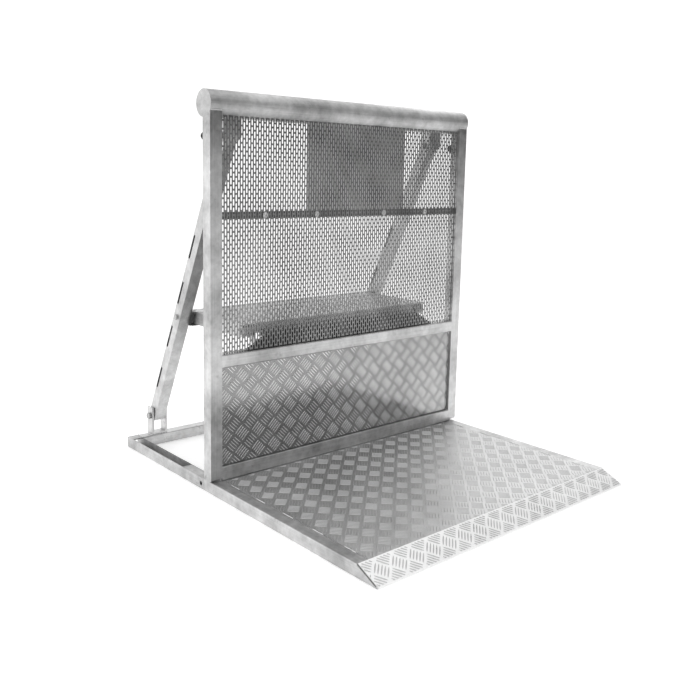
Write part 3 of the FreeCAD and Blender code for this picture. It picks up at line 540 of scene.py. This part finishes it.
# lock pins: chamfered tip and a dished head
pinHead = {
    "shank": 7 * mm,
    "radius": 11 * mm,
    "thickness": 8 * mm,
    "chamfer": 1.5 * mm,
    "dish": 6 * mm,
    "dishDepth": 1.2 * mm,
}
for side in ("left", "right"):
    pinLow, pinHigh = lowHigh(side + "_lock_pin")
    sign = 1 if pinHigh.x > 0 else -1
    length = pinHigh.x - pinLow.x
    tip, shank = pinHead["thickness"] - length, pinHead["shank"]
    seat = (pinHigh.x if sign > 0 else pinLow.x) - sign * pinHead["thickness"]
    turned(
        side + "_turned_pin", "zinc", side + "_pin", "zinc_steel",
        [
            (0, tip),
            (shank - 2 * mm, tip),
            (shank, tip + 3 * mm),
            (shank, 0),
            (pinHead["radius"] - 1 * mm, 0),
            (pinHead["radius"], 1 * mm), (pinHead["radius"], pinHead["thickness"] - pinHead["chamfer"]),
            (pinHead["radius"] - pinHead["chamfer"], pinHead["thickness"]),
            (pinHead["dish"], pinHead["thickness"]),
            (pinHead["dish"] - 1 * mm, pinHead["thickness"] - pinHead["dishDepth"]),
            (0, pinHead["thickness"] - pinHead["dishDepth"]),
        ],
        [((seat, (pinLow.y + pinHigh.y) / 2, (pinLow.z + pinHigh.z) / 2), (sign, 0, 0))],
        side + "_lock_pin",
    )

# rubber buffers: flange, waist and a domed end
bufferLow, bufferHigh = lowHigh("rubber_buffers")
bufferRadius = (bufferHigh.z - bufferLow.z) / 2
bufferLength = bufferHigh.y - bufferLow.y
stem = bufferLength - bufferRadius
dome = [
    (bufferRadius * math.cos(math.radians(angle)), stem + bufferRadius * math.sin(math.radians(angle)))
    for angle in (0, 18, 36, 54, 72)
]
turned(
    "rubber_buffer_set", "rubber", "panel", "rubber",
    [
        (0, 0), (bufferRadius, 0), (bufferRadius, 2.5 * mm), (bufferRadius * 0.88, 4 * mm),
        (bufferRadius * 0.86, stem * 0.55), *dome, (0, bufferLength),
    ],
    [
        ((side * (bufferHigh.x - bufferRadius), bufferLow.y, (bufferLow.z + bufferHigh.z) / 2), (0, 1, 0))
        for side in (-1, 1)
    ],
    "rubber_buffers",
)
print("bolts, pins and buffers done")

# weld beads: rippled runs in the corners where pieces meet
weld = {"radius": 2.2 * mm, "ripple": 3.4 * mm, "sides": 8}


def weldBeads(name, body, runs, radius=weld["radius"]):
    bm = bmesh.new()
    for start, end in runs:
        start, end = Vector(start), Vector(end)
        along = (end - start).normalized()
        ring = bmesh.ops.create_circle(bm, segments=weld["sides"], radius=radius)["verts"]
        turn = Vector((0, 0, 1)).rotation_difference(along).to_matrix()
        bmesh.ops.rotate(bm, verts=ring, matrix=turn)
        bmesh.ops.translate(bm, verts=ring, vec=start)
        steps = max(3, round((end - start).length / (weld["ripple"] / 3)))
        edges = list({edge for vert in ring for edge in vert.link_edges})
        before = set(bm.verts)
        bmesh.ops.spin(
            bm, geom=edges, cent=start, axis=along, dvec=(end - start) / steps,
            angle=0, steps=steps, use_duplicate=False,
        )
        swept = list((set(bm.verts) - before) | set(ring))
        for vert in swept:
            reach = (vert.co - start).dot(along)
            centre = start + along * reach
            vert.co = centre + (vert.co - centre) * (
                0.78 + 0.22 * abs(math.sin(math.pi * reach / weld["ripple"]))
            )
        loose = [edge for vert in swept for edge in vert.link_edges if edge.is_boundary]
        bmesh.ops.holes_fill(bm, edges=list(set(loose)), sides=0)
    bmesh.ops.recalc_face_normals(bm, faces=bm.faces)
    return piece(name, bm, "weld", body, smooth=True)


panelRuns, baseRuns = [], []
roundMiddle = (roundLow + roundHigh) / 2
roundRadius = (roundHigh.z - roundLow.z) / 2
for side in (-1, 1):
    inner, outer = side * uprightLow.x, side * uprightHigh.x
    for z in (midLow.z, midHigh.z):
        panelRuns.append(((inner, sheetHigh.y + 2 * mm, z), (inner, midHigh.y, z)))
    panelRuns.append(((inner, bottomLow.y + 4 * mm, bottomHigh.z), (inner, kickLow.y, bottomHigh.z)))
    panelRuns.append(((inner, midLow.y + 4 * mm, midHigh.z), (inner, sheetLow.y, midHigh.z)))
    panelRuns.append(((inner, midLow.y + 4 * mm, midLow.z), (inner, kickLow.y, midLow.z)))
    for y in (uprightLow.y, uprightHigh.y):
        z = roundMiddle.z - math.sqrt(roundRadius**2 - (y - roundMiddle.y) ** 2)
        panelRuns.append(((inner, y, z), (outer - side * 2 * mm, y, z)))
    baseRuns.append(
        (
            (side * rearHigh.x, rearLow.y + 2 * mm, rearHigh.z),
            (side * rearHigh.x, rearHigh.y - 2 * mm, rearHigh.z),
        ),
    )
    baseRuns.append(
        ((side * rearHigh.x, rearLow.y, 3 * mm), (side * rearHigh.x, rearLow.y, rearHigh.z - 2 * mm))
    )
    for y in (clevisLow.y, clevisHigh.y):
        baseRuns.append(((side * clevisLow.x, y, clevisLow.z), (side * clevisHigh.x, y, clevisLow.z)))
    for x in (clevisLow.x, clevisHigh.x):
        baseRuns.append(((side * x, clevisLow.y, clevisLow.z), (side * x, clevisHigh.y, clevisLow.z)))
    stitches = 5
    stitchStep = (floorHigh.y - floorLow.y) / stitches
    for number in range(stitches):
        y = floorLow.y + stitchStep * (number + 0.35)
        baseRuns.append(
            ((side * floorHigh.x, y, floorHigh.z), (side * floorHigh.x, y + 45 * mm, floorHigh.z))
        )
weldBeads("panel_welds", "panel", panelRuns)
weldBeads("base_welds", "base", baseRuns)
print("welds done")

view = {
    "place": (-1.8129, -1.9742, 0.9838),
    "azimuth": -41.2935,
    "pitch": 8.6551,
    "roll": 1.2853,
    "lens": 42.306,
}
azimuth, pitch, roll = (math.radians(view[key]) for key in ("azimuth", "pitch", "roll"))
back = Vector((math.sin(azimuth) * math.cos(pitch), -math.cos(azimuth) * math.cos(pitch), math.sin(pitch)))
level = Vector((math.cos(azimuth), math.sin(azimuth), 0))
upward = back.cross(level)
right = math.cos(roll) * level + math.sin(roll) * upward
up = math.cos(roll) * upward - math.sin(roll) * level
camera = bpy.data.objects.new("camera", bpy.data.cameras.new("camera"))
bpy.context.scene.collection.objects.link(camera)
camera.matrix_world = Matrix.Translation(view["place"]) @ Matrix((right, up, back)).transposed().to_4x4()
camera.data.sensor_width = 36
camera.data.lens = view["lens"]
camera.data.shift_y = -0.0756
camera.data.clip_end = 60
bpy.context.scene.camera = camera

studio = {
    "floorShade": 0.9,
    "floorGlow": 0.35,
    "brightSide": 1.15,
    "darkSide": 0.06,
    "overhead": 0.85,
    "darkToward": (0.35, -0.94),
}
paint = Paint("studio_floor")
floorPaint = paint.close(
    Base_Color=shade(studio["floorShade"]), Roughness=0.9, Emission_Color=shade(1), Emission_Strength=studio[
        "floorGlow"
    ]
)
bm = bmesh.new()
bmesh.ops.create_grid(bm, x_segments=1, y_segments=1, size=20)
ground = bpy.data.meshes.new("studio_floor")
bm.to_mesh(ground)
bm.free()
ground.materials.append(floorPaint)
groundPlane = bpy.data.objects.new("studio_floor", ground)
groundPlane.location.z = -0.0005
bpy.context.scene.collection.objects.link(groundPlane)

world = bpy.data.worlds.new("studio")
bpy.context.scene.world = world
world.use_nodes = True
sky = Paint("studio_sky", world.node_tree)
direction = sky.node("ShaderNodeTexCoord", output="Generated")
split = sky.node("ShaderNodeSeparateXYZ", None, direction)
x, y, z = (Wire(sky, split.socket.node.outputs[number]) for number in range(3))
facing = x * studio["darkToward"][0] + y * studio["darkToward"][1]
ring = sky.ramp(facing, (0.1, studio["brightSide"]), (0.6, studio["darkSide"]))
lift = sky.ramp(z, (0.42, 0), (0.64, 1))
glow = sky.node(
    "ShaderNodeMix", {"data_type": "RGBA"}, output=2, **{
        "Factor": lift, "A": ring, "B": shade(studio["overhead"])
    }
)
background = sky.node("ShaderNodeBackground", None, Color=glow, Strength=1.0)
sky.node("ShaderNodeOutputWorld", None, background)

lamps = {
    "rampSoftbox": {"at": (2.9, 1.5, 3.0), "aim": (0, -0.4, 0.1), "size": 1.6, "power": 18},
    "leftSoftbox": {"at": (-3.6, 1.2, 1.8), "aim": (0, 0.1, 0.6), "size": 2.0, "power": 18},
    "overheadSoftbox": {"at": (-0.4, -0.6, 4.2), "aim": (0, -0.1, 0), "size": 2.6, "power": 10},
}
for name, lamp in lamps.items():
    light = bpy.data.lights.new(name, "AREA")
    light.size = lamp["size"]
    light.energy = lamp["power"]
    holder = bpy.data.objects.new(name, light)
    bpy.context.scene.collection.objects.link(holder)
    holder.location = lamp["at"]
    holder.rotation_euler = (Vector(lamp["at"]) - Vector(lamp["aim"])).to_track_quat("Z", "Y").to_euler()
bpy.context.scene.view_settings.view_transform = "Standard"
print("studio and camera done")

bpy.context.view_layer.update()
